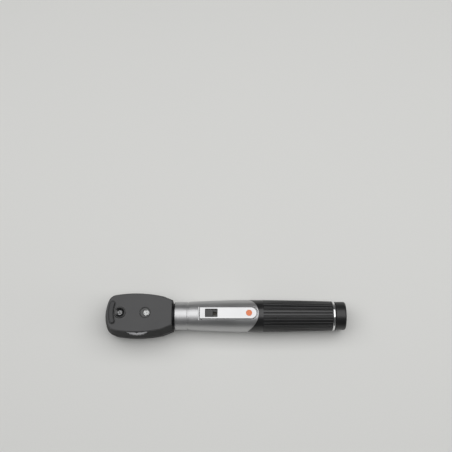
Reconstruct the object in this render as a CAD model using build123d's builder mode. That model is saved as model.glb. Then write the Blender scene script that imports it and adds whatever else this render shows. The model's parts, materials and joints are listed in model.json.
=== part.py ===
"""Hand-held direct ophthalmoscope: sight head with lens disc and aperture disc on a two-cell battery handle.

Millimetres, +Z up. The handle lies along X, the sight head is at -X, the end cap at +X,
and the examiner's side of the head faces +Z. The origin is the centre of the bounding box's base.
"""
import os
from math import atan2, cos, degrees, radians, sin

from build123d import *

# ---------------------------------------------------------------- driving dimensions
axis_z = 12.0              # height of the handle axis
half_length = 90.5         # the part runs from -half_length to +half_length

# handle
collar_x0 = -38.1
collar_x1 = -28.5
collar_r = 10.5
collar_socket_r = 8.0
sleeve_x0 = -27.1
tongue_x = 11.8
tongue_r = 12.9
rib_x0 = 28.4
rib_x1 = 80.0
rib_count = 30
groove_r = 0.62
ring_x0 = 80.5
ring_x1 = 82.0
cap_x0 = 82.6
cap_x1 = half_length
cap_r = 10.6
cap_bore_r = 7.7
tube_x0 = -17.2
tube_x1 = 75.4
tube_r = 8.6
tube_bore_r = 7.5
cell_r = 7.25
cell_length = 50.0

# pocket clip and switch
clip_x0 = -19.2
clip_x1 = 23.4
clip_width = 8.8
clip_top = 24.4
clip_thick = 1.5
recess_floor = 21.6
window_x0 = -15.1
window_x1 = -5.7
window_width = 6.2
clip_pin_x = -18.5
clip_pin_z = 20.9
slider_length = 5.5
slider_width = 5.6
slider_x = window_x0 + 0.35 + slider_length / 2
bed_x = (window_x0 + window_x1) / 2
inlay_x = 17.6
inlay_r = 2.3

# sight head
head_x0 = -88.0
head_x1 = -39.6
face_z = 26.0
split_z = 24.6
belly_z = 14.0
face_half_width = 14.3
widest_x = -66.4
nose_r = 25.0
side_r = 87.0
nose_corner_r = 6.5
waist_corner_r = 9.0
waist_slope = 0.406
neck_half_width = 9.0
flare = 2.5                # how far the belly stands out beyond the face
back_flare = 1.5           # the same at the back
back_edge_r = 2.5
back_edge_z = 3.0
wall = 1.6
deck_z0 = 19.4
deck_z1 = 21.1
brow_x = -84.5
brow_arc_r = 22.0
brow_half_angle = 17.5
brow_centre = (brow_x + brow_arc_r, 0)
brow_start = 180 - brow_half_angle
brow_width = 3.4
brow_height = 2.0
brow_gap = 0.5
post_r = 2.0
post_z0 = 5.0
post_spots = [(-83.4, 7.4), (-83.4, -7.4), (-43.9, 7.4), (-43.9, -7.4)]

# lens disc
wheel_x = -65.2
wheel_y = -1.2
wheel_r = 15.2
wheel_z0 = 21.4
wheel_z1 = 24.3
lens_count = 19
lens_r = 1.4
lens_hole_r = 1.1
detent_pitch_r = 9.6
eye_x = -78.1
lens_pitch_r = ((eye_x - wheel_x) ** 2 + wheel_y ** 2) ** 0.5
lens_phase = degrees(atan2(-wheel_y, eye_x - wheel_x))
readout_x = -59.4
readout_shift = 1.1        # the readout's window sits this far off its ring's centre
wheel_axle_r = 1.5

# aperture disc and light path
aperture_x = -50.5
aperture_z = 7.5
aperture_r = 7.2
aperture_thick = 2.2
aperture_pitch_r = 4.5
aperture_count = 5
aperture_axle_r = 0.9
dish_r = 26.0
dish_depth = 1.0
aperture_gap = 1.6         # half the gap between the two lengths of light tube
light_tube_r = 5.0
light_bore_r = 3.9
light_x0 = -69.2
light_x1 = -41.6
mirror_x = -73.0
mirror_z = 11.6
patient_x = -75.0

cap_slip = 0.1             # radial running clearance of plug-in and screwed joints


def export(part, label):
    """Name one finished piece and write it beside the others."""
    part.label = label
    export_step(part, f"parts/{label}.step")


def turned(points):
    """A solid of revolution about the handle axis from (x, radius) corners."""
    with BuildPart() as body:
        with BuildSketch(Plane.XZ):
            with BuildLine():
                Polyline(*[(x, axis_z + r) for x, r in points], close=True)
            make_face()
        revolve(axis=Axis((0, 0, axis_z), (1, 0, 0)))
    return body.part


def dome_lens(radius, z0, edge, bulge):
    """Plano-convex lens on the Z axis: flat side at z0, domed by the given bulge above its edge."""
    sphere_r = (radius ** 2 + bulge ** 2) / (2 * bulge)
    with BuildPart() as glass:
        with Locations((0, 0, z0)):
            Cylinder(radius, edge + bulge, align=(Align.CENTER, Align.CENTER, Align.MIN))
        with Locations((0, 0, z0 + edge + bulge - sphere_r)):
            Sphere(sphere_r, mode=Mode.INTERSECT)
    return glass.part


def head_outline(grow=0.0):
    """Plan outline of the sight head's face, grown all round by the given distance."""
    end_x = head_x1 + grow
    rise = grow * (1 + waist_slope ** 2) ** 0.5
    end_y = neck_half_width + (head_x1 - end_x) * waist_slope + rise
    far_y = neck_half_width + (head_x1 + 100) * waist_slope + rise
    with BuildSketch(mode=Mode.PRIVATE) as outline:
        with Locations((head_x0 + nose_r, 0)):
            Circle(nose_r + grow)
            Rectangle(60, 2 * (nose_r + grow), align=(Align.MIN, Align.CENTER))
        with Locations((widest_x, face_half_width - side_r)):
            Circle(side_r + grow, mode=Mode.INTERSECT)
        with Locations((widest_x, side_r - face_half_width)):
            Circle(side_r + grow, mode=Mode.INTERSECT)
        with BuildLine():
            Polyline((-100, far_y), (end_x, end_y), (end_x, -end_y), (-100, -far_y), close=True)
        make_face(mode=Mode.INTERSECT)
        fillet(outline.vertices().sort_by(Axis.X)[0:2], radius=nose_corner_r + grow)
        waist = outline.vertices().filter_by_position(Axis.X, head_x1 - 14, head_x1 - 3)
        fillet(waist, radius=waist_corner_r + grow)
    return outline.sketch


def outline_solid(z0, grow0, z1, grow1):
    """Solid between two grown head outlines at two heights."""
    with BuildPart() as body:
        with BuildSketch(Plane.XY.offset(z0)):
            add(head_outline(grow0))
        if grow0 == grow1:
            extrude(amount=z1 - z0)
        else:
            with BuildSketch(Plane.XY.offset(z1)):
                add(head_outline(grow1))
            loft()
    return body.part


def head_blank():
    """Solid envelope of the head: widest at the belly, narrowing to the face, rounded at the back."""
    with BuildPart() as blank:
        add(outline_solid(0.0, back_flare, back_edge_z, back_flare))
        fillet(blank.faces().sort_by(Axis.Z)[0].edges(), radius=back_edge_r)
        add(outline_solid(back_edge_z, back_flare, belly_z, flare))
        add(outline_solid(belly_z, flare, face_z, 0.0))
        with BuildSketch(Plane.XY):
            with Locations((head_x1, 0)):
                Rectangle(20, 60, align=(Align.MIN, Align.CENTER))
        extrude(amount=40, mode=Mode.SUBTRACT)
    return blank.part


os.makedirs("parts", exist_ok=True)

# ================================================================ handle envelope
with BuildPart() as handle_blank:
    with BuildSketch(Plane.XZ):
        with BuildLine():
            skin = Spline(
                (sleeve_x0, axis_z + 10.7),
                (-11.6, axis_z + 11.35),
                (2.0, axis_z + 11.8),
                (20.0, axis_z + 12.0),
                (56.5, axis_z + 11.55),
                (ring_x0, axis_z + 10.95),
            )
            Line(skin @ 1, (ring_x0, axis_z))
            Line((ring_x0, axis_z), (sleeve_x0, axis_z))
            Line((sleeve_x0, axis_z), skin @ 0)
        make_face()
    revolve(axis=Axis((0, 0, axis_z), (1, 0, 0)))

# ================================================================ neck collar
collar = turned([
    (collar_x0 + 0.4, collar_r), (collar_x1 - 0.25, collar_r), (collar_x1, collar_r - 0.25),
    (collar_x1, 10.15), (sleeve_x0, 10.15), (sleeve_x0, 8.4), (-22.2, 8.4), (-22.2, 6.6),
    (-29.5, 6.6), (-29.5, collar_socket_r), (collar_x0, collar_socket_r), (collar_x0, collar_r - 0.4),
])
export(collar, "neck_collar")

# ================================================================ silver upper sleeve
with BuildPart() as upper_sleeve:
    add(handle_blank.part)
    with BuildSketch(Plane.XY.offset(-1)):
        with Locations((sleeve_x0 - 1, 0)):
            Rectangle(tongue_x - sleeve_x0 + 1, 28, align=(Align.MIN, Align.CENTER))
        with Locations((tongue_x, 0)):
            Circle(tongue_r)
    extrude(amount=28, mode=Mode.INTERSECT)
    add(turned([(tube_x0, 0), (40, 0), (40, tube_r + 0.03), (tube_x0, tube_r + 0.03)]), mode=Mode.SUBTRACT)
    add(turned([(-30, 0), (tube_x0, 0), (tube_x0, 7.5), (-22, 7.5), (-22, 8.45), (-30, 8.45)]),
        mode=Mode.SUBTRACT)
    # flat recess under the clip
    with BuildSketch(Plane.XY.offset(recess_floor)):
        with Locations((clip_x0 - 1.0, 0)):
            Rectangle(clip_x1 - clip_x0 + 1.0 - 3.6, clip_width + 1.0, align=(Align.MIN, Align.CENTER))
        with Locations((clip_x1 - 4.0, 0)):
            SlotOverall(2 * 4.9, 2 * 4.895)
    extrude(amount=5, mode=Mode.SUBTRACT)
    # slot that takes the clip's foot
    with BuildSketch(Plane.XY.offset(19.6)):
        with Locations((clip_pin_x, 0)):
            Rectangle(2.1, clip_width + 0.8)
    extrude(amount=4, mode=Mode.SUBTRACT)
    # bore for the clip's pin
    with Locations((clip_pin_x, 0, clip_pin_z)):
        Cylinder(0.5, 11.4, rotation=(90, 0, 0), mode=Mode.SUBTRACT)
    # pocket for the switch contacts
    with BuildSketch(Plane.XY.offset(axis_z + 6)):
        with Locations((bed_x, 0)):
            Rectangle(10.4, 4.4)
    extrude(amount=6, mode=Mode.SUBTRACT)
export(upper_sleeve.part, "upper_sleeve")

# ================================================================ ribbed grip sleeve
with BuildPart() as grip_sleeve:
    add(handle_blank.part)
    with BuildSketch(Plane.XY.offset(-1)):
        with Locations((sleeve_x0 - 1, 0)):
            Rectangle(tongue_x - sleeve_x0 + 1, 28, align=(Align.MIN, Align.CENTER))
        with Locations((tongue_x, 0)):
            Circle(tongue_r + 0.08)
    extrude(amount=28, mode=Mode.SUBTRACT)
    add(turned([(0, 0), (76, 0), (76, tube_r + 0.03), (0, tube_r + 0.03)]), mode=Mode.SUBTRACT)
    add(turned([(75.6, 0), (84, 0), (84, 9.5), (75.6, 9.5)]), mode=Mode.SUBTRACT)
    for i in range(rib_count):
        with BuildSketch(Plane.YZ.offset(rib_x0)):
            with Locations((0, axis_z)):
                with PolarLocations(11.92, 1, start_angle=(i + 0.5) * 360 / rib_count):
                    Circle(groove_r)
        with BuildSketch(Plane.YZ.offset(rib_x1)):
            with Locations((0, axis_z)):
                with PolarLocations(10.92, 1, start_angle=(i + 0.5) * 360 / rib_count):
                    Circle(groove_r)
        loft(mode=Mode.SUBTRACT)
export(grip_sleeve.part, "grip_sleeve")

# ================================================================ bright trim ring
trim_ring = turned([
    (ring_x0 + 0.02, 9.52), (ring_x1, 9.52), (ring_x1, 10.75), (ring_x1 - 0.25, 11.0),
    (ring_x0 + 0.27, 11.0), (ring_x0 + 0.02, 10.8),
])
export(trim_ring, "trim_ring")

# ================================================================ battery tube and cells
battery_tube = turned([(tube_x0, tube_bore_r), (tube_x1, tube_bore_r), (tube_x1, tube_r), (tube_x0, tube_r)])
export(battery_tube, "battery_tube")


def cell(x0):
    """One AA cell with its button towards the head."""
    with BuildPart() as body:
        add(turned([
            (x0, 0), (x0, 2.6), (x0 + 0.2, 2.75), (x0 + 1.0, 2.75), (x0 + 1.0, 6.6),
            (x0 + 1.4, cell_r), (x0 + cell_length - 0.5, cell_r), (x0 + cell_length - 0.2, 6.8),
            (x0 + cell_length - 0.2, 4.6), (x0 + cell_length, 4.6), (x0 + cell_length, 0),
        ]))
    return body.part


cell_x0 = -18.3
battery_cells = Compound(children=[cell(cell_x0), cell(cell_x0 + cell_length + 0.05)])
export(battery_cells, "battery_cells")

# ================================================================ front contact of the handle
front_insulator = turned([
    (-29.4, 2.1), (-29.4, 6.5), (-22.2, 6.5), (-22.2, 7.4), (-20.2, 7.4), (-20.2, 4.2),
    (-23.5, 4.2), (-23.5, 2.1),
])
export(front_insulator, "front_insulator")

contact_plunger = turned([
    (-29.9, 0), (-29.9, 1.1), (-29.2, 1.95), (-23.2, 1.95), (-23.2, 3.4), (-22.5, 3.4), (-22.5, 1.2),
    (-20.6, 1.2), (-20.6, 0),
])
export(contact_plunger, "contact_plunger")

front_contact = turned([(-19.2, 0), (-19.2, 6.2), (-18.4, 6.2), (-18.4, 0)])
export(front_contact, "front_contact")

with BuildPart() as front_spring:
    with BuildLine() as coil:
        Helix(pitch=1.0, height=2.6, radius=2.7, center=(-22.05, 0, axis_z), direction=(1, 0, 0))
    with BuildSketch(Plane(origin=coil.line @ 0, z_dir=coil.line % 0)):
        Circle(0.25)
    sweep(is_frenet=True)
export(front_spring.part, "front_spring")

# ================================================================ switch bed and contacts
with BuildPart() as switch_bed:
    with BuildSketch(Plane.XY.offset(recess_floor)):
        with Locations((bed_x, 0)):
            RectangleRounded(13.0, 7.0, 0.6)
    extrude(amount=0.7)
    with BuildSketch(Plane.XY.offset(recess_floor)):
        with Locations((bed_x, 0)):
            SlotOverall(8.4, 2.6)
    extrude(amount=2, mode=Mode.SUBTRACT)
export(switch_bed.part, "switch_bed")

with BuildPart() as switch_contact:
    with BuildSketch(Plane.XY.offset(20.62)):
        with Locations((bed_x, 0)):
            Rectangle(9.6, 2.4)
    extrude(amount=0.15)
export(switch_contact.part, "switch_contact")

with BuildPart() as switch_slider:
    with BuildSketch(Plane.XY.offset(22.45)):
        with Locations((slider_x, 0)):
            RectangleRounded(slider_length, slider_width, 0.7)
    extrude(amount=1.75)
    fillet(switch_slider.faces().sort_by(Axis.Z)[-1].edges(), radius=0.3)
    # grip ridges on the thumb face
    with BuildSketch(Plane.XY.offset(23.85)):
        with Locations((slider_x, 0)):
            with GridLocations(1.2, 0, 3, 1):
                Rectangle(0.5, slider_width)
    extrude(amount=1, mode=Mode.SUBTRACT)
    # stem through the bed
    with BuildSketch(Plane.XY.offset(21.1)):
        with Locations((slider_x, 0)):
            RectangleRounded(2.6, 1.8, 0.3)
    extrude(amount=1.4)
export(switch_slider.part, "switch_slider")

with BuildPart() as switch_wiper:
    with BuildSketch(Plane.XZ):
        with BuildLine():
            Polyline(
                (slider_x - 2.0, 21.1), (slider_x - 2.0, 20.98), (slider_x - 1.3, 20.98), (slider_x, 20.84),
                (slider_x + 1.3, 20.98), (slider_x + 2.0, 20.98), (slider_x + 2.0, 21.1), close=True,
            )
        make_face()
    extrude(amount=0.8, both=True)
export(switch_wiper.part, "switch_wiper")

# ================================================================ pocket clip
with BuildPart() as pocket_clip:
    with BuildSketch(Plane.XY.offset(clip_top - clip_thick)):
        with Locations((clip_x0, 0)):
            Rectangle(clip_x1 - clip_x0 - clip_width / 2, clip_width, align=(Align.MIN, Align.CENTER))
        with Locations((clip_x1 - clip_width / 2, 0)):
            Circle(clip_width / 2)
    extrude(amount=clip_thick)
    fillet(pocket_clip.faces().sort_by(Axis.Z)[-1].edges(), radius=0.45)
    with BuildSketch(Plane.XY.offset(clip_top - clip_thick)):
        with Locations((bed_x, 0)):
            RectangleRounded(window_x1 - window_x0, window_width, 0.5)
    extrude(amount=3, mode=Mode.SUBTRACT)
    # foot hung on the pin
    with BuildSketch(Plane.XY.offset(clip_pin_z - 0.95)):
        with Locations((clip_pin_x, 0)):
            Rectangle(1.4, clip_width)
    extrude(amount=clip_top - clip_thick - clip_pin_z + 1.0)
    with Locations((clip_pin_x, 0, clip_pin_z)):
        Cylinder(0.55, 12, rotation=(90, 0, 0), mode=Mode.SUBTRACT)
    # round recess for the inlay
    with Locations((inlay_x, 0, clip_top - 0.25)):
        Cylinder(inlay_r, 1.0, align=(Align.CENTER, Align.CENTER, Align.MIN), mode=Mode.SUBTRACT)
    # gripping bump under the free end
    with BuildSketch(Plane.XZ):
        with BuildLine():
            ThreePointArc(
                (18.6, clip_top - clip_thick),
                (20.2, clip_top - clip_thick - 0.6),
                (21.8, clip_top - clip_thick),
            )
            Line((21.8, clip_top - clip_thick), (18.6, clip_top - clip_thick))
        make_face()
    extrude(amount=2.6, both=True)
export(pocket_clip.part, "pocket_clip")

with BuildPart() as clip_inlay:
    with Locations((inlay_x, 0, clip_top - 0.25)):
        Cylinder(inlay_r - 0.03, 0.29, align=(Align.CENTER, Align.CENTER, Align.MIN))
    fillet(clip_inlay.faces().sort_by(Axis.Z)[-1].edges(), radius=0.08)
export(clip_inlay.part, "clip_inlay")

with BuildPart() as clip_pin:
    with Locations((clip_pin_x, 0, clip_pin_z)):
        Cylinder(0.49, 11.2, rotation=(90, 0, 0))
export(clip_pin.part, "clip_pin")

# ================================================================ end cap with its contact
end_cap_blank = turned([
    (76.2, cap_bore_r), (76.2, 9.1), (76.5, 9.4), (77.2, 9.4), (77.4, 9.2), (77.9, 9.2),
    (78.1, 9.4), (79.0, 9.4), (79.2, 9.2), (79.7, 9.2), (79.9, 9.4), (cap_x0, 9.4),
    (cap_x0, cap_r - 0.3), (cap_x0 + 0.3, cap_r), (cap_x1 - 1.2, cap_r), (cap_x1 - 0.55, cap_r - 0.25),
    (cap_x1 - 0.15, cap_r - 0.75), (cap_x1, cap_r - 1.4), (cap_x1, 0), (88.6, 0), (88.6, cap_bore_r),
])
with BuildPart() as end_cap:
    add(end_cap_blank)
    # coin slot across the end
    with BuildSketch(Plane.YZ.offset(cap_x1)):
        with Locations((0, axis_z)):
            SlotOverall(13.0, 1.8)
    extrude(amount=-1.0, mode=Mode.SUBTRACT)
export(end_cap.part, "end_cap")

cap_contact = turned([
    (82.0, 0), (82.0, 3.2), (82.6, 4.4), (82.6, 7.2), (83.1, 7.2), (83.1, 4.0), (82.5, 2.9), (82.5, 0),
])
export(cap_contact, "cap_contact")

with BuildPart() as cap_spring:
    with BuildLine() as coil:
        Helix(pitch=1.4, height=4.6, radius=5.4, center=(83.5, 0, axis_z), direction=(1, 0, 0))
    with BuildSketch(Plane(origin=coil.line @ 0, z_dir=coil.line % 0)):
        Circle(0.4)
    sweep(is_frenet=True)
export(cap_spring.part, "cap_spring")

# ================================================================ head housing, patient side
blank = head_blank()

with BuildPart() as head_housing:
    add(blank)
    # everything above the split belongs to the cover
    with BuildSketch(Plane.XY.offset(split_z)):
        Rectangle(200, 60)
    extrude(amount=4, mode=Mode.SUBTRACT)
    # lower cavity under the deck
    add(outline_solid(wall, -1.6, post_z0, -0.1), mode=Mode.SUBTRACT)
    add(outline_solid(post_z0, -0.1, belly_z, 0.7), mode=Mode.SUBTRACT)
    add(outline_solid(belly_z, 0.7, deck_z0, -0.6), mode=Mode.SUBTRACT)
    # bosses that the casing screws bear on
    with Locations(*[(x, y, wall - 0.6) for x, y in post_spots]):
        Cylinder(2.8, post_z0 - 0.3 - wall + 0.6, align=(Align.CENTER, Align.CENTER, Align.MIN))
    # solid end wall at the neck
    with BuildSketch(Plane.XY.offset(wall - 0.6)):
        with Locations((head_x1, 0)):
            Rectangle(2.0, 17.0, align=(Align.MAX, Align.CENTER))
    extrude(amount=deck_z0)
    # pocket for the lens disc, open through the lower side wall
    with Locations((wheel_x, wheel_y, deck_z1)):
        Cylinder(wheel_r + 0.3, 8, align=(Align.CENTER, Align.CENTER, Align.MIN), mode=Mode.SUBTRACT)
    # sight bore through deck and back
    with Locations((eye_x, 0, 0)):
        Cylinder(2.0, 30, align=(Align.CENTER, Align.CENTER, Align.MIN), mode=Mode.SUBTRACT)
    # axle and detent bores in the deck
    with Locations((wheel_x, wheel_y, deck_z0 - 1)):
        Cylinder(wheel_axle_r, 6, align=(Align.CENTER, Align.CENTER, Align.MIN), mode=Mode.SUBTRACT)
    with Locations((wheel_x + detent_pitch_r, wheel_y, deck_z0 - 1)):
        Cylinder(1.05, 6, align=(Align.CENTER, Align.CENTER, Align.MIN), mode=Mode.SUBTRACT)
    # clearance holes for the cover's posts
    with Locations(*[(x, y, post_z0 - 0.3) for x, y in post_spots]):
        Cylinder(post_r + 0.1, 30, align=(Align.CENTER, Align.CENTER, Align.MIN), mode=Mode.SUBTRACT)
    # recess for the patient window
    with BuildSketch(Plane.XY):
        with Locations((patient_x, 0)):
            SlotOverall(15.0, 9.4)
    extrude(amount=1.0, mode=Mode.SUBTRACT)
    with BuildSketch(Plane.XY):
        with Locations((patient_x, 0)):
            SlotOverall(12.0, 6.6)
    extrude(amount=4.0, mode=Mode.SUBTRACT)
    # slot for the aperture disc's rim, in a shallow finger dish
    with BuildSketch(Plane.XY):
        with Locations((aperture_x, 0)):
            Rectangle(aperture_thick + 0.8, 10.0)
    extrude(amount=5, mode=Mode.SUBTRACT)
    with Locations((aperture_x, 0, dish_depth - dish_r)):
        Sphere(dish_r, mode=Mode.SUBTRACT)
    # neck bore for the connector
    with Locations((head_x1, 0, axis_z)):
        Cylinder(6.0, 8, rotation=(0, 90, 0), mode=Mode.SUBTRACT)
    # screw shank and head holes
    with Locations(*[(x, y, 0) for x, y in post_spots]):
        Cylinder(0.9, 6.0, align=(Align.CENTER, Align.CENTER, Align.MIN), mode=Mode.SUBTRACT)
        Cylinder(1.7, 3.0, align=(Align.CENTER, Align.CENTER, Align.MIN), mode=Mode.SUBTRACT)
export(head_housing.part, "head_housing")

# ================================================================ cover on the examiner's side
with BuildPart() as head_cover:
    add(blank)
    with BuildSketch(Plane.XY):
        Rectangle(200, 60)
    extrude(amount=split_z, mode=Mode.SUBTRACT)
    fillet(head_cover.faces().sort_by(Axis.Z)[-1].edges(), radius=0.6)
    # shadow step at the joint with the housing
    with BuildSketch(Plane.XY.offset(split_z)):
        Rectangle(200, 60)
        add(head_outline(-0.3), mode=Mode.SUBTRACT)
    extrude(amount=0.35, mode=Mode.SUBTRACT)
    # posts that take the casing screws
    with BuildSketch(Plane.XY.offset(post_z0)):
        with Locations(*post_spots):
            Circle(post_r)
    extrude(amount=split_z + 0.4 - post_z0)
    with Locations(*[(x, y, post_z0 - 0.1) for x, y in post_spots]):
        Cylinder(0.75, 8.0, align=(Align.CENTER, Align.CENTER, Align.MIN), mode=Mode.SUBTRACT)
    # seats for the sight ring and the readout ring
    with Locations((eye_x, 0, split_z - 0.1)):
        Cylinder(2.4, 4, align=(Align.CENTER, Align.CENTER, Align.MIN), mode=Mode.SUBTRACT)
    with Locations((eye_x, 0, face_z - 0.6)):
        Cylinder(4.9, 4, align=(Align.CENTER, Align.CENTER, Align.MIN), mode=Mode.SUBTRACT)
    with Locations((readout_x + readout_shift, 0, split_z - 0.1)):
        Cylinder(2.3, 4, align=(Align.CENTER, Align.CENTER, Align.MIN), mode=Mode.SUBTRACT)
    with Locations((readout_x, 0, face_z - 0.8)):
        Cylinder(4.2, 4, align=(Align.CENTER, Align.CENTER, Align.MIN), mode=Mode.SUBTRACT)
    # blind bore for the disc's axle
    with Locations((wheel_x, wheel_y, split_z - 0.1)):
        Cylinder(0.8, 0.9, align=(Align.CENTER, Align.CENTER, Align.MIN), mode=Mode.SUBTRACT)
    # groove that holds the brow rest
    with BuildSketch(Plane.XY.offset(face_z - 0.5)):
        with BuildLine():
            seat_line = CenterArc(brow_centre, brow_arc_r, brow_start, 2 * brow_half_angle)
        SlotArc(seat_line, brow_width + 2 * brow_gap)
    extrude(amount=2, mode=Mode.SUBTRACT)
export(head_cover.part, "head_cover")

with BuildPart() as brow_rest:
    with BuildSketch(Plane.XY.offset(face_z - 0.5)):
        with BuildLine():
            brow_line = CenterArc(brow_centre, brow_arc_r, brow_start, 2 * brow_half_angle)
        SlotArc(brow_line, brow_width - 0.7)
    extrude(amount=0.6)
    with BuildSketch(Plane.XY.offset(face_z)):
        with BuildLine():
            brow_line = CenterArc(brow_centre, brow_arc_r, brow_start, 2 * brow_half_angle)
        SlotArc(brow_line, brow_width)
    extrude(amount=brow_height)
    fillet(brow_rest.faces().sort_by(Axis.Z)[-1].edges(), radius=0.9)
export(brow_rest.part, "brow_rest")

# ================================================================ sight ring and readout
with BuildPart() as sight_ring:
    with BuildSketch(Plane.XZ):
        with BuildLine():
            Polyline(
                (1.7, face_z - 0.6), (4.85, face_z - 0.6), (4.85, face_z - 0.15), (4.4, face_z - 0.15),
                (4.2, face_z + 0.45), (3.95, face_z + 0.6), (3.6, face_z + 0.6), (3.35, face_z + 0.45),
                (1.7, face_z - 0.3), close=True,
            )
        make_face()
    revolve(axis=Axis.Z)
sight_ring.part.locate(Location((eye_x, 0, 0)))
export(sight_ring.part, "sight_ring")

with BuildPart() as sight_glass:
    with Locations((eye_x, 0, split_z + 0.1)):
        Cylinder(2.35, 0.65, align=(Align.CENTER, Align.CENTER, Align.MIN))
export(sight_glass.part, "sight_glass")

with BuildPart() as readout_ring:
    with BuildSketch(Plane.XZ):
        with BuildLine():
            Polyline(
                (0, face_z - 0.8), (4.15, face_z - 0.8), (4.15, face_z - 0.05), (4.0, face_z + 0.1),
                (3.75, face_z + 0.1), (3.45, face_z - 0.35), (0, face_z - 0.5), close=True,
            )
        make_face()
    revolve(axis=Axis.Z)
    with Locations((readout_shift, 0, face_z - 1)):
        Cylinder(2.25, 2, align=(Align.CENTER, Align.CENTER, Align.MIN), mode=Mode.SUBTRACT)
readout_ring.part.locate(Location((readout_x, 0, 0)))
export(readout_ring.part, "readout_ring")

readout_lens = dome_lens(2.2, split_z + 0.1, 0.55, 0.5).moved(Location((readout_x + readout_shift, 0, 0)))
export(readout_lens, "readout_lens")

# ================================================================ lens disc
lens_angles = [lens_phase + i * 360 / lens_count for i in range(lens_count)]


def on_wheel(radius, z, angles):
    """Points on a circle about the lens disc's axis."""
    return [(wheel_x + radius * cos(radians(a)), wheel_y + radius * sin(radians(a)), z) for a in angles]


with BuildPart() as lens_wheel:
    with Locations((wheel_x, wheel_y, wheel_z0)):
        Cylinder(wheel_r, wheel_z1 - wheel_z0, align=(Align.CENTER, Align.CENTER, Align.MIN))
    fillet(lens_wheel.faces().filter_by(GeomType.CYLINDER).edges(), radius=0.3)
    # thumb scallops round the rim
    scallops = 2 * lens_count
    scallop_angles = [lens_phase + (i + 0.5) * 360 / scallops for i in range(scallops)]
    with Locations(*on_wheel(wheel_r + 0.62, wheel_z0 - 1, scallop_angles)):
        Cylinder(0.95, 6, align=(Align.CENTER, Align.CENTER, Align.MIN), mode=Mode.SUBTRACT)
    with Locations((wheel_x, wheel_y, wheel_z0 - 1)):
        Cylinder(wheel_axle_r + 0.05, 8, align=(Align.CENTER, Align.CENTER, Align.MIN), mode=Mode.SUBTRACT)
    with Locations(*on_wheel(lens_pitch_r, wheel_z0 - 1, lens_angles)):
        Cylinder(lens_hole_r, 8, align=(Align.CENTER, Align.CENTER, Align.MIN), mode=Mode.SUBTRACT)
    # each lens sits in a seat open towards the patient, behind a lip
    with Locations(*on_wheel(lens_pitch_r, wheel_z1 - 0.8, lens_angles)):
        Cylinder(lens_r, 8, align=(Align.CENTER, Align.CENTER, Align.MAX), mode=Mode.SUBTRACT)
    # detent dimples underneath
    detent_angles = [i * 360 / lens_count for i in range(lens_count)]
    with Locations(*on_wheel(detent_pitch_r, wheel_z0 - 0.55, detent_angles)):
        Sphere(0.9, mode=Mode.SUBTRACT)
    # recess for the dial
    with BuildSketch(Plane.XY.offset(wheel_z1 - 0.25)):
        with Locations((wheel_x, wheel_y)):
            Circle(8.2)
            Circle(3.2, mode=Mode.SUBTRACT)
    extrude(amount=1, mode=Mode.SUBTRACT)
export(lens_wheel.part, "lens_wheel")

with BuildPart() as dial_ring:
    with BuildSketch(Plane.XY.offset(wheel_z1 - 0.25)):
        with Locations((wheel_x, wheel_y)):
            Circle(8.15)
            Circle(3.25, mode=Mode.SUBTRACT)
    extrude(amount=0.2)
export(dial_ring.part, "dial_ring")


lens_spots = on_wheel(lens_pitch_r, wheel_z0 + 0.6, lens_angles[1:])
lenses = Compound(children=[
    dome_lens(lens_r - 0.02, 0.0, 0.6, 0.1 + 0.03 * i).moved(Location(p)) for i, p in enumerate(lens_spots)
])
export(lenses, "corrective_lenses")

with BuildPart() as wheel_axle:
    with Locations((wheel_x, wheel_y, deck_z0 - 0.9)):
        Cylinder(2.4, 0.9, align=(Align.CENTER, Align.CENTER, Align.MIN))
    with Locations((wheel_x, wheel_y, deck_z0)):
        Cylinder(wheel_axle_r - 0.01, wheel_z1 - deck_z0 + 0.1, align=(Align.CENTER, Align.CENTER, Align.MIN))
    with Locations((wheel_x, wheel_y, wheel_z1)):
        Cylinder(0.78, split_z + 0.75 - wheel_z1, align=(Align.CENTER, Align.CENTER, Align.MIN))
export(wheel_axle.part, "wheel_axle")

with BuildPart() as detent_ball:
    with Locations((wheel_x + detent_pitch_r, wheel_y, wheel_z0 - 0.95)):
        Sphere(0.9)
export(detent_ball.part, "detent_ball")

with BuildPart() as detent_leaf:
    with BuildSketch(Plane.XY.offset(deck_z0 - 0.35)):
        with Locations((wheel_x + 7.6, wheel_y)):
            RectangleRounded(6.6, 2.4, 0.5)
    extrude(amount=0.25)
export(detent_leaf.part, "detent_leaf")

# ================================================================ aperture disc
with BuildPart() as aperture_wheel:
    with Locations((aperture_x, 0, aperture_z)):
        Cylinder(aperture_r, aperture_thick, rotation=(0, 90, 0))
    for i in range(24):
        with BuildSketch(Plane.YZ.offset(aperture_x)):
            with Locations((0, aperture_z)):
                with PolarLocations(aperture_r + 0.35, 1, start_angle=i * 15):
                    Circle(0.62)
        extrude(amount=3, both=True, mode=Mode.SUBTRACT)
    with Locations((aperture_x, 0, aperture_z)):
        Cylinder(aperture_axle_r + 0.06, 6, rotation=(0, 90, 0), mode=Mode.SUBTRACT)
    aperture_radii = [1.5, 0.95, 0.5, 1.3, 1.5]
    for i, hole_r in enumerate(aperture_radii):
        with BuildSketch(Plane.YZ.offset(aperture_x)):
            with Locations((0, aperture_z)):
                with PolarLocations(aperture_pitch_r, 1, start_angle=90 + i * 360 / aperture_count):
                    if i == 3:
                        SlotOverall(2.6, 0.6)
                    else:
                        Circle(hole_r)
        extrude(amount=3, both=True, mode=Mode.SUBTRACT)
    # seat for the green filter in the last opening
    with BuildSketch(Plane.YZ.offset(aperture_x - aperture_thick / 2)):
        with Locations((0, aperture_z)):
            with PolarLocations(aperture_pitch_r, 1, start_angle=90 + 4 * 360 / aperture_count):
                Circle(1.75)
    extrude(amount=0.8, mode=Mode.SUBTRACT)
export(aperture_wheel.part, "aperture_wheel")

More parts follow.
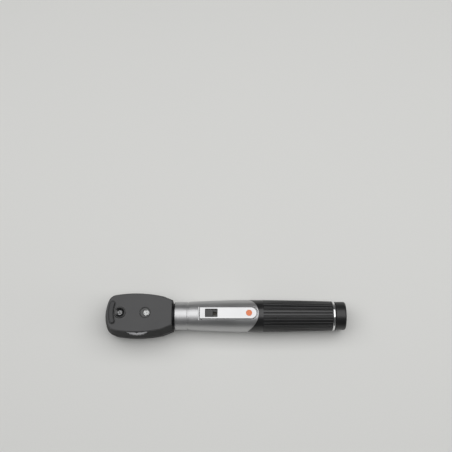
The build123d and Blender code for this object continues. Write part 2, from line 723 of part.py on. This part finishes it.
with BuildPart() as red_free_filter:
    with BuildSketch(Plane.YZ.offset(aperture_x - aperture_thick / 2 + 0.05)):
        with Locations((0, aperture_z)):
            with PolarLocations(aperture_pitch_r, 1, start_angle=90 + 4 * 360 / aperture_count):
                Circle(1.72)
    extrude(amount=0.7)
export(red_free_filter.part, "red_free_filter")

with BuildPart() as aperture_axle:
    with Locations((aperture_x, 0, aperture_z)):
        Cylinder(aperture_axle_r, 6.4, rotation=(0, 90, 0))
export(aperture_axle.part, "aperture_axle")

# ================================================================ light path
with BuildPart() as light_tube:
    with Locations(((light_x1 + aperture_x + aperture_gap) / 2, 0, axis_z)):
        Cylinder(light_tube_r, light_x1 - aperture_x - aperture_gap, rotation=(0, 90, 0))
    with Locations(((light_x0 + aperture_x - aperture_gap) / 2, 0, axis_z)):
        Cylinder(light_tube_r, aperture_x - aperture_gap - light_x0, rotation=(0, 90, 0))
    # bearings for the aperture disc's axle
    with BuildSketch(Plane.YZ.offset(aperture_x + aperture_gap)):
        with Locations((0, aperture_z - 0.6)):
            RectangleRounded(4.4, 4.4, 0.8)
    extrude(amount=1.8)
    with BuildSketch(Plane.YZ.offset(aperture_x - aperture_gap)):
        with Locations((0, aperture_z - 0.6)):
            RectangleRounded(4.4, 4.4, 0.8)
    extrude(amount=-1.8)
    # bridge over the disc
    with BuildSketch(Plane.XY.offset(15.0)):
        with Locations((aperture_x, 0)):
            Rectangle(6.0, 4.0)
    extrude(amount=1.9)
    with Locations((-55.0, 0, axis_z)):
        Cylinder(light_bore_r, 40, rotation=(0, 90, 0), mode=Mode.SUBTRACT)
    with Locations((aperture_x, 0, aperture_z)):
        Cylinder(aperture_axle_r + 0.01, 6.6, rotation=(0, 90, 0), mode=Mode.SUBTRACT)
    # foot on the housing's floor
    with BuildSketch(Plane.XY.offset(wall)):
        with Locations((-61.0, 0)):
            Rectangle(5.0, 4.0)
    extrude(amount=axis_z - light_bore_r - wall - 0.4)
export(light_tube.part, "light_tube")


light_axis = Location((0, 0, axis_z), (0, 90, 0))
export(light_axis * dome_lens(light_bore_r - 0.02, -46.9, 0.9, 1.1), "condenser_lens")
export(light_axis * dome_lens(light_bore_r - 0.02, -58.0, 1.0, 1.0), "projection_lens")

with BuildPart() as mirror_carrier:
    with BuildSketch(Plane.XZ):
        with BuildLine():
            Polyline(
                (mirror_x - 2.6, mirror_z - 2.6), (mirror_x + 2.9, mirror_z + 2.9), (mirror_x + 2.9, deck_z0),
                (mirror_x - 1.4, deck_z0), (mirror_x - 3.0, mirror_z + 1.2), close=True,
            )
        make_face()
    extrude(amount=3.0, both=True)
export(mirror_carrier.part, "mirror_carrier")

with BuildPart() as mirror:
    with BuildSketch(Plane.XZ):
        with BuildLine():
            Polyline(
                (mirror_x - 2.6, mirror_z - 2.6), (mirror_x + 2.9, mirror_z + 2.9),
                (mirror_x + 3.3, mirror_z + 2.5), (mirror_x - 2.2, mirror_z - 3.0), close=True,
            )
        make_face()
    extrude(amount=2.9, both=True)
export(mirror.part, "mirror")

with BuildPart() as patient_window:
    with BuildSketch(Plane.XY.offset(0.02)):
        with Locations((patient_x, 0)):
            SlotOverall(14.9, 9.3)
    extrude(amount=0.96)
    with BuildSketch(Plane.XY.offset(0.02)):
        with Locations((patient_x, 0)):
            SlotOverall(11.9, 6.4)
    extrude(amount=2, mode=Mode.SUBTRACT)
export(patient_window.part, "patient_window_ring")

with BuildPart() as patient_glass:
    with BuildSketch(Plane.XY.offset(0.3)):
        with Locations((patient_x, 0)):
            SlotOverall(11.86, 6.36)
    extrude(amount=0.6)
export(patient_glass.part, "patient_window_glass")

# ================================================================ plug-in neck and bulb
connector = turned([
    (head_x1, 5.25), (head_x1, 9.3), (collar_x0 - 0.35, 9.3), (collar_x0 - 0.35, collar_socket_r - cap_slip),
    (-36.2, collar_socket_r - cap_slip), (-36.2, 7.3), (-35.2, 7.3), (-35.2, collar_socket_r - cap_slip),
    (-30.2, collar_socket_r - cap_slip), (-29.9, collar_socket_r - 0.4), (-29.9, 5.25),
])
spigot = turned([(-41.5, 5.25), (-41.5, 5.95), (head_x1, 5.95), (head_x1, 5.25)])
with BuildPart() as head_connector:
    add(connector)
    add(spigot)
export(head_connector.part, "head_connector")

retaining_ring = turned([
    (-36.15, 7.32), (-36.15, 7.75), (-35.95, 7.93), (-35.45, 7.93), (-35.25, 7.75), (-35.25, 7.32),
])
export(retaining_ring, "retaining_ring")

bulb_base = turned([
    (-40.6, 1.9), (-40.6, 3.3), (-39.2, 3.3), (-39.2, 5.2), (-37.8, 5.2), (-37.8, 4.6), (-31.2, 4.6),
    (-30.9, 4.3), (-30.9, 1.9),
])
export(bulb_base, "bulb_base")

bulb_contact = turned([(-31.6, 0), (-31.6, 1.85), (-30.7, 1.85), (-30.2, 1.0), (-30.2, 0)])
export(bulb_contact, "bulb_contact")

with BuildPart() as bulb_glass:
    with Locations((-42.4, 0, axis_z)):
        Sphere(1.85)
    with Locations((-41.0, 0, axis_z)):
        Cylinder(1.85, 2.8, rotation=(0, 90, 0))
export(bulb_glass.part, "bulb_glass")


def casing_screw(x, y):
    """Cross-head screw driven from the patient side into a cover post."""
    with BuildPart() as screw:
        with Locations((x, y, 1.4)):
            Cylinder(1.6, 1.6, align=(Align.CENTER, Align.CENTER, Align.MIN))
        with Locations((x, y, 2.6)):
            Cylinder(0.74, 9.8, align=(Align.CENTER, Align.CENTER, Align.MIN))
        with BuildSketch(Plane.XY.offset(1.4)):
            with Locations((x, y)):
                Rectangle(2.0, 0.45)
                Rectangle(0.45, 2.0)
        extrude(amount=0.7, mode=Mode.SUBTRACT)
    return screw.part


screws = Compound(children=[casing_screw(x, y) for x, y in post_spots])
export(screws, "casing_screws")
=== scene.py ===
import json
import math

import bpy
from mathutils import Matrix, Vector


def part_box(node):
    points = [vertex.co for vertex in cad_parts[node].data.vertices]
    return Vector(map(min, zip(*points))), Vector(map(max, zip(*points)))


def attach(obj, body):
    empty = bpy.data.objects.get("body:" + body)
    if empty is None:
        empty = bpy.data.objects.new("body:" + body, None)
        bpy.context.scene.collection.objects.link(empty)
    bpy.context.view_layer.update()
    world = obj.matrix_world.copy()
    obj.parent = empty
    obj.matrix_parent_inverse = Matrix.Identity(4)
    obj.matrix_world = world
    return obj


# An ophthalmoscope lying on a pale floor: the CAD nodes get their finishes, the lens disc's dial gets its
# printed figures, and the studio is a floor, two soft lights and a camera at the photograph's angle.
# Lengths are metres unless a name ends in _mm.

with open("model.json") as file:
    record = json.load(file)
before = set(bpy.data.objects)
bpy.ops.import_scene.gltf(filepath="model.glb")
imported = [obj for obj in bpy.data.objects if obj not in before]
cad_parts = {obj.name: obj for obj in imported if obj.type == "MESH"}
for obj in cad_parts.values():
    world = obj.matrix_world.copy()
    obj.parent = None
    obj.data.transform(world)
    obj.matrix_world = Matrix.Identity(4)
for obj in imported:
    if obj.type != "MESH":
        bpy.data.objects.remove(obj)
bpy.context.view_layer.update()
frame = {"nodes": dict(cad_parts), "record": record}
NODES = frame["nodes"]
MM = 0.001

# ------------------------------------------------------------------ settings
# the part of the noise's run that a value, and a tint, is stretched over
NOISE_LOW = 0.25
NOISE_HIGH = 0.75
TINT_LOW = 0.3
TINT_HIGH = 0.7

# how much finer the grain is along each axis
ANY_WAY = (1, 1, 1)
TURNED = (9.0, 0.15, 0.15)     # fine lines round a part that lies along X
WIPED = (0.05, 0.12, 0.12)     # faint marks along it
BRUSHED = (0.15, 6.0, 6.0)     # fine lines along X

PLASTIC_IOR = 1.5
COAT_ROUGHNESS = 0.1
TURNED_DEPTH_MM = 0.006
WIPED_SMOOTHER = 0.04
WIPED_ROUGHER = 0.05
GLASS_IOR = 1.52
GLASS_COAT = 0.2
GLASS_ROUGHNESS = (0.02, 0.04)
GLASS_TINT = (0.97, 1.0)

FIGURE_SIZE = 0.0021
LONG_FIGURE_SIZE = 0.0017      # figures of two digits
FIGURE_THICKNESS = 0.000015
FIGURE_LIFT = 0.00003          # above the dial's face

FLOOR_SIZE = 3.0
KEY_PLACE = (0.0, 0.16, 0.90)
KEY_SIZE = (2.0, 1.0)
KEY_POWER = 11.6
FILL_PLACE = (0.9, -0.1, 0.35)
FILL_SIZE = (0.2, 0.5)
FILL_POWER = 0.5
OBJECT_PLACE = (0, 0, 0)
WORLD_COLOUR = (0.80, 0.81, 0.82, 1)
WORLD_STRENGTH = 0.12

CAMERA_PLACE = (0.0005, -0.103, 0.552)
CAMERA_TILT = math.radians(17.92)
CAMERA_LENS_MM = 57.35
SENSOR_WIDTH_MM = 36.0
CLIP_START = 0.01


# ------------------------------------------------------------------ material building blocks
def new_material(name):
    """An empty node material with its node tree and Principled shader."""
    material = bpy.data.materials.new(name)
    material.use_nodes = True
    return material, material.node_tree, material.node_tree.nodes["Principled BSDF"]


def coords(tree, stretch=ANY_WAY):
    """Object coordinates in millimetres, each axis times its stretch."""
    source = tree.nodes.new("ShaderNodeTexCoord")
    mapping = tree.nodes.new("ShaderNodeMapping")
    mapping.inputs["Scale"].default_value = [1000.0 * s for s in stretch]
    tree.links.new(source.outputs["Object"], mapping.inputs["Vector"])
    return mapping.outputs["Vector"]


def noise(tree, vector, scale, detail=4.0, roughness=0.55):
    """Noise of so many cycles a millimetre."""
    node = tree.nodes.new("ShaderNodeTexNoise")
    node.inputs["Scale"].default_value = scale
    node.inputs["Detail"].default_value = detail
    node.inputs["Roughness"].default_value = roughness
    tree.links.new(vector, node.inputs["Vector"])
    return node.outputs["Fac"]


def shade(colour, factor):
    """The colour made darker or lighter, with full alpha."""
    return (min(1, colour[0] * factor), min(1, colour[1] * factor), min(1, colour[2] * factor), 1)


def tint(tree, value, colour, low, high):
    """The colour, between low and high times its brightness as the value rises."""
    ramp = tree.nodes.new("ShaderNodeValToRGB")
    ends = ramp.color_ramp.elements
    ends[0].position = TINT_LOW
    ends[0].color = shade(colour, low)
    ends[1].position = TINT_HIGH
    ends[1].color = shade(colour, high)
    tree.links.new(value, ramp.inputs["Fac"])
    return ramp.outputs["Color"]


def spread(tree, value, low, high):
    """The noise value stretched to run from low to high."""
    node = tree.nodes.new("ShaderNodeMapRange")
    node.inputs["From Min"].default_value = NOISE_LOW
    node.inputs["From Max"].default_value = NOISE_HIGH
    node.inputs["To Min"].default_value = low
    node.inputs["To Max"].default_value = high
    tree.links.new(value, node.inputs["Value"])
    return node.outputs["Result"]


def average(tree, first, second):
    """The mean of two values."""
    node = tree.nodes.new("ShaderNodeMix")
    node.data_type = "FLOAT"
    node.inputs["Factor"].default_value = 0.5
    tree.links.new(first, node.inputs["A"])
    tree.links.new(second, node.inputs["B"])
    return node.outputs["Result"]


def bump(tree, shader, height, strength, depth_mm):
    """Raises the surface by the height value."""
    node = tree.nodes.new("ShaderNodeBump")
    node.inputs["Strength"].default_value = strength
    node.inputs["Distance"].default_value = depth_mm * MM
    tree.links.new(height, node.inputs["Height"])
    tree.links.new(node.outputs["Normal"], shader.inputs["Normal"])


# ------------------------------------------------------------------ kinds of finish
def plain(name, colour, rough, metallic=0.0, grain=0.5, vary=0.12, rough_vary=0.06, strength=0.2,
          depth_mm=0.02, stretch=ANY_WAY, patch=0.06, coat=0.0, specular=0.5):
    """A solid finish: fine grain in colour and bump, and slow patches in colour and gloss."""
    material, tree, shader = new_material(name)
    fine = noise(tree, coords(tree, stretch), grain)
    slow = noise(tree, coords(tree), patch, detail=2.0)
    both = average(tree, fine, slow)
    tree.links.new(tint(tree, both, colour, 1 - vary, 1 + vary), shader.inputs["Base Color"])
    roughness = spread(tree, slow, rough - rough_vary, rough + rough_vary)
    tree.links.new(roughness, shader.inputs["Roughness"])
    bump(tree, shader, fine, strength, depth_mm)
    shader.inputs["Metallic"].default_value = metallic
    shader.inputs["IOR"].default_value = PLASTIC_IOR
    shader.inputs["Specular IOR Level"].default_value = specular
    shader.inputs["Coat Weight"].default_value = coat
    shader.inputs["Coat Roughness"].default_value = COAT_ROUGHNESS
    return material


def turned_metal(name, colour, rough, strength=0.10, vary=0.05, aniso=0.35):
    """Metal turned about the handle's axis: very fine lines round it and faint wiping marks along it."""
    material, tree, shader = new_material(name)
    rings = noise(tree, coords(tree, TURNED), scale=1.0, detail=3.0, roughness=0.6)
    smudge = noise(tree, coords(tree, WIPED), scale=1.0, detail=3.0, roughness=0.5)
    tree.links.new(tint(tree, smudge, colour, 1 - vary, 1 + vary), shader.inputs["Base Color"])
    roughness = spread(tree, smudge, rough - WIPED_SMOOTHER, rough + WIPED_ROUGHER)
    tree.links.new(roughness, shader.inputs["Roughness"])
    bump(tree, shader, rings, strength, TURNED_DEPTH_MM)
    shader.inputs["Metallic"].default_value = 1.0
    shader.inputs["Anisotropic"].default_value = aniso
    return material


def glass(name, colour):
    """Coated clear or tinted glass."""
    material, tree, shader = new_material(name)
    slow = noise(tree, coords(tree), scale=0.4, detail=2.0)
    tree.links.new(tint(tree, slow, colour, *GLASS_TINT), shader.inputs["Base Color"])
    tree.links.new(spread(tree, slow, *GLASS_ROUGHNESS), shader.inputs["Roughness"])
    shader.inputs["Transmission Weight"].default_value = 1.0
    shader.inputs["IOR"].default_value = GLASS_IOR
    shader.inputs["Coat Weight"].default_value = GLASS_COAT
    return material


# ------------------------------------------------------------------ finishes, by the record's slot
FINISHES = {
    "satin_steel": (turned_metal, dict(
        colour=(0.52, 0.52, 0.525), rough=0.44, strength=0.06, vary=0.03, aniso=0.15)),
    "clip_steel": (plain, dict(
        colour=(0.50, 0.50, 0.505), rough=0.40, metallic=1.0, grain=1.0, vary=0.03, strength=0.08,
        depth_mm=0.004, stretch=BRUSHED)),
    "chrome_trim": (turned_metal, dict(
        colour=(0.84, 0.84, 0.85), rough=0.12, strength=0.03, vary=0.03, aniso=0.1)),
    "plated_steel": (turned_metal, dict(colour=(0.60, 0.59, 0.56), rough=0.28)),
    "spring_steel": (plain, dict(colour=(0.50, 0.50, 0.51), rough=0.25, metallic=1.0, grain=2.0, vary=0.06)),
    "contact_brass": (plain, dict(colour=(0.78, 0.58, 0.27), rough=0.26, metallic=1.0, grain=1.4, vary=0.08)),
    "black_plastic": (plain, dict(
        colour=(0.012, 0.012, 0.0125), rough=0.33, grain=3.4, vary=0.18, strength=0.16, specular=0.6)),
    "cap_black": (plain, dict(
        colour=(0.012, 0.012, 0.0125), rough=0.36, grain=3.0, vary=0.15, strength=0.16)),
    "head_black": (plain, dict(
        colour=(0.046, 0.046, 0.047), rough=0.50, grain=2.6, vary=0.14, strength=0.42, depth_mm=0.035)),
    "gloss_black": (plain, dict(
        colour=(0.008, 0.008, 0.0085), rough=0.22, grain=2.0, vary=0.1, strength=0.05, coat=0.3)),
    "black_rubber": (plain, dict(
        colour=(0.040, 0.040, 0.041), rough=0.60, grain=3.0, vary=0.2, strength=0.4, depth_mm=0.04)),
    "black_anodised": (plain, dict(
        colour=(0.020, 0.020, 0.022), rough=0.45, metallic=0.6, grain=2.0, vary=0.1)),
    "lens_glass": (glass, dict(colour=(0.97, 0.98, 0.98))),
    "mirror_glass": (plain, dict(
        colour=(0.9, 0.92, 0.92), rough=0.05, metallic=1.0, grain=0.4, vary=0.02, rough_vary=0.02,
        strength=0.02)),
    "wheel_grey": (plain, dict(colour=(0.30, 0.30, 0.31), rough=0.45, grain=2.0, vary=0.08)),
    "wheel_black": (plain, dict(colour=(0.045, 0.045, 0.046), rough=0.5, grain=2.4, vary=0.15)),
    "dial_white": (plain, dict(colour=(0.86, 0.86, 0.84), rough=0.4, grain=1.5, vary=0.04, strength=0.05)),
    "green_filter": (glass, dict(colour=(0.05, 0.62, 0.24))),
    "white_insulator": (plain, dict(colour=(0.80, 0.79, 0.75), rough=0.5, grain=1.6, vary=0.05)),
    "cell_wrap": (plain, dict(colour=(0.10, 0.20, 0.40), rough=0.25, grain=1.0, vary=0.05, coat=0.3)),
    "orange_inlay": (plain, dict(
        colour=(0.78, 0.16, 0.02), rough=0.28, grain=1.2, vary=0.05, strength=0.05, coat=0.5)),
}
MATERIALS = {slot: make(slot, **look) for slot, (make, look) in FINISHES.items()}

# the housing shares its slot with the cover on the examiner's side, and is given a duller and darker black as
# painted shade: its side walls are a shaded copy of the cover's lit black
housing_painted_shade = plain("housing_painted_shade", (0.012, 0.012, 0.0125), 0.55, grain=2.6, vary=0.16, strength=0.35,
                      depth_mm=0.035, specular=0.22)

# the fixed contact shows through the clip's window, so it is darkened with painted shade instead of the
# record's brass: the recess under the window is in shade
contact_painted_shade = plain("contact_painted_shade", (0.035, 0.030, 0.024), 0.5, metallic=0.5, grain=1.4, vary=0.15)

own_look = {"head_housing": housing_painted_shade, "switch_contact": contact_painted_shade}
slots = {s["node"]: s["material_slot"] for s in frame["record"]["subparts"]}
for name, node in NODES.items():
    node.data.materials.clear()
    node.data.materials.append(own_look.get(name) or MATERIALS[slots[name]])


# ------------------------------------------------------------------ printed figures on the lens disc's dial
def printed(name, text, size, place, turn, ink):
    """A thin printed figure lying on the dial."""
    curve = bpy.data.curves.new(name, "FONT")
    curve.body = text
    curve.size = size
    curve.extrude = FIGURE_THICKNESS
    curve.align_x = "CENTER"
    curve.align_y = "CENTER"
    figure = bpy.data.objects.new(name, curve)
    bpy.context.scene.collection.objects.link(figure)
    figure.location = place
    figure.rotation_euler = (0, 0, turn)
    figure.data.materials.append(ink)
    return figure


def middle(low, high):
    """The point halfway between two corners."""
    return Vector([(a + b) / 2 for a, b in zip(low, high)])


ink_black = plain("ink_black", (0.02, 0.02, 0.02), 0.5, grain=4.0, vary=0.1)
ink_red = plain("ink_red", (0.55, 0.02, 0.02), 0.5, grain=4.0, vary=0.1)

# zero and the plus powers are black, the minus powers red, and the rest position shows zero in the window
powers = ["1", "2", "3", "4", "6", "8", "10", "15", "20"]
figures = [(text, ink_black) for text in ["0"] + powers] + [(text, ink_red) for text in reversed(powers)]

dial_low, dial_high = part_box("dial_ring")
window_low, window_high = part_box("readout_lens")
dial = middle(dial_low, dial_high)
window = middle(window_low, window_high)
reach = math.hypot(window.x - dial.x, window.y - dial.y)
phase = math.atan2(window.y - dial.y, window.x - dial.x)
step = 2 * math.pi / len(figures)
for i, (text, ink) in enumerate(figures):
    angle = phase + i * step
    size = FIGURE_SIZE if len(text) == 1 else LONG_FIGURE_SIZE
    place = (dial.x + reach * math.cos(angle), dial.y + reach * math.sin(angle), dial_high[2] + FIGURE_LIFT)
    ob = printed("dial_figure_%02d" % i, text, size, place, math.pi / 2 + i * step, ink)
    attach(ob, "lens_disc")


# ------------------------------------------------------------------ floor, light and camera
def area_light(name, place, aim, size, power):
    """A soft rectangular light that points at aim."""
    light = bpy.data.lights.new(name, "AREA")
    light.shape = "RECTANGLE"
    light.size, light.size_y = size
    light.energy = power
    lamp = bpy.data.objects.new(name, light)
    bpy.context.scene.collection.objects.link(lamp)
    lamp.location = place
    lamp.rotation_euler = (Vector(aim) - Vector(place)).to_track_quat("-Z", "Y").to_euler()


bpy.ops.mesh.primitive_plane_add(size=FLOOR_SIZE, location=(0, 0, 0))
floor = bpy.context.object
floor.name = "floor"
floor_paper = plain("floor_paper", (0.74, 0.74, 0.72), 0.65, grain=0.8, vary=0.015, strength=0.05,
                    depth_mm=0.05, patch=0.004)
floor.data.materials.append(floor_paper)

area_light("key_soft", KEY_PLACE, OBJECT_PLACE, KEY_SIZE, KEY_POWER)
area_light("end_fill", FILL_PLACE, OBJECT_PLACE, FILL_SIZE, FILL_POWER)

world = bpy.data.worlds.new("studio")
world.use_nodes = True
background = world.node_tree.nodes["Background"]
background.inputs["Color"].default_value = WORLD_COLOUR
background.inputs["Strength"].default_value = WORLD_STRENGTH
bpy.context.scene.world = world

camera = bpy.data.cameras.new("camera")
camera.lens = CAMERA_LENS_MM
camera.sensor_width = SENSOR_WIDTH_MM
camera.clip_start = CLIP_START
camera_object = bpy.data.objects.new("camera", camera)
bpy.context.scene.collection.objects.link(camera_object)
camera_object.location = CAMERA_PLACE
camera_object.rotation_euler = (CAMERA_TILT, 0, 0)
bpy.context.scene.camera = camera_object

bpy.context.scene.view_settings.view_transform = "Standard"
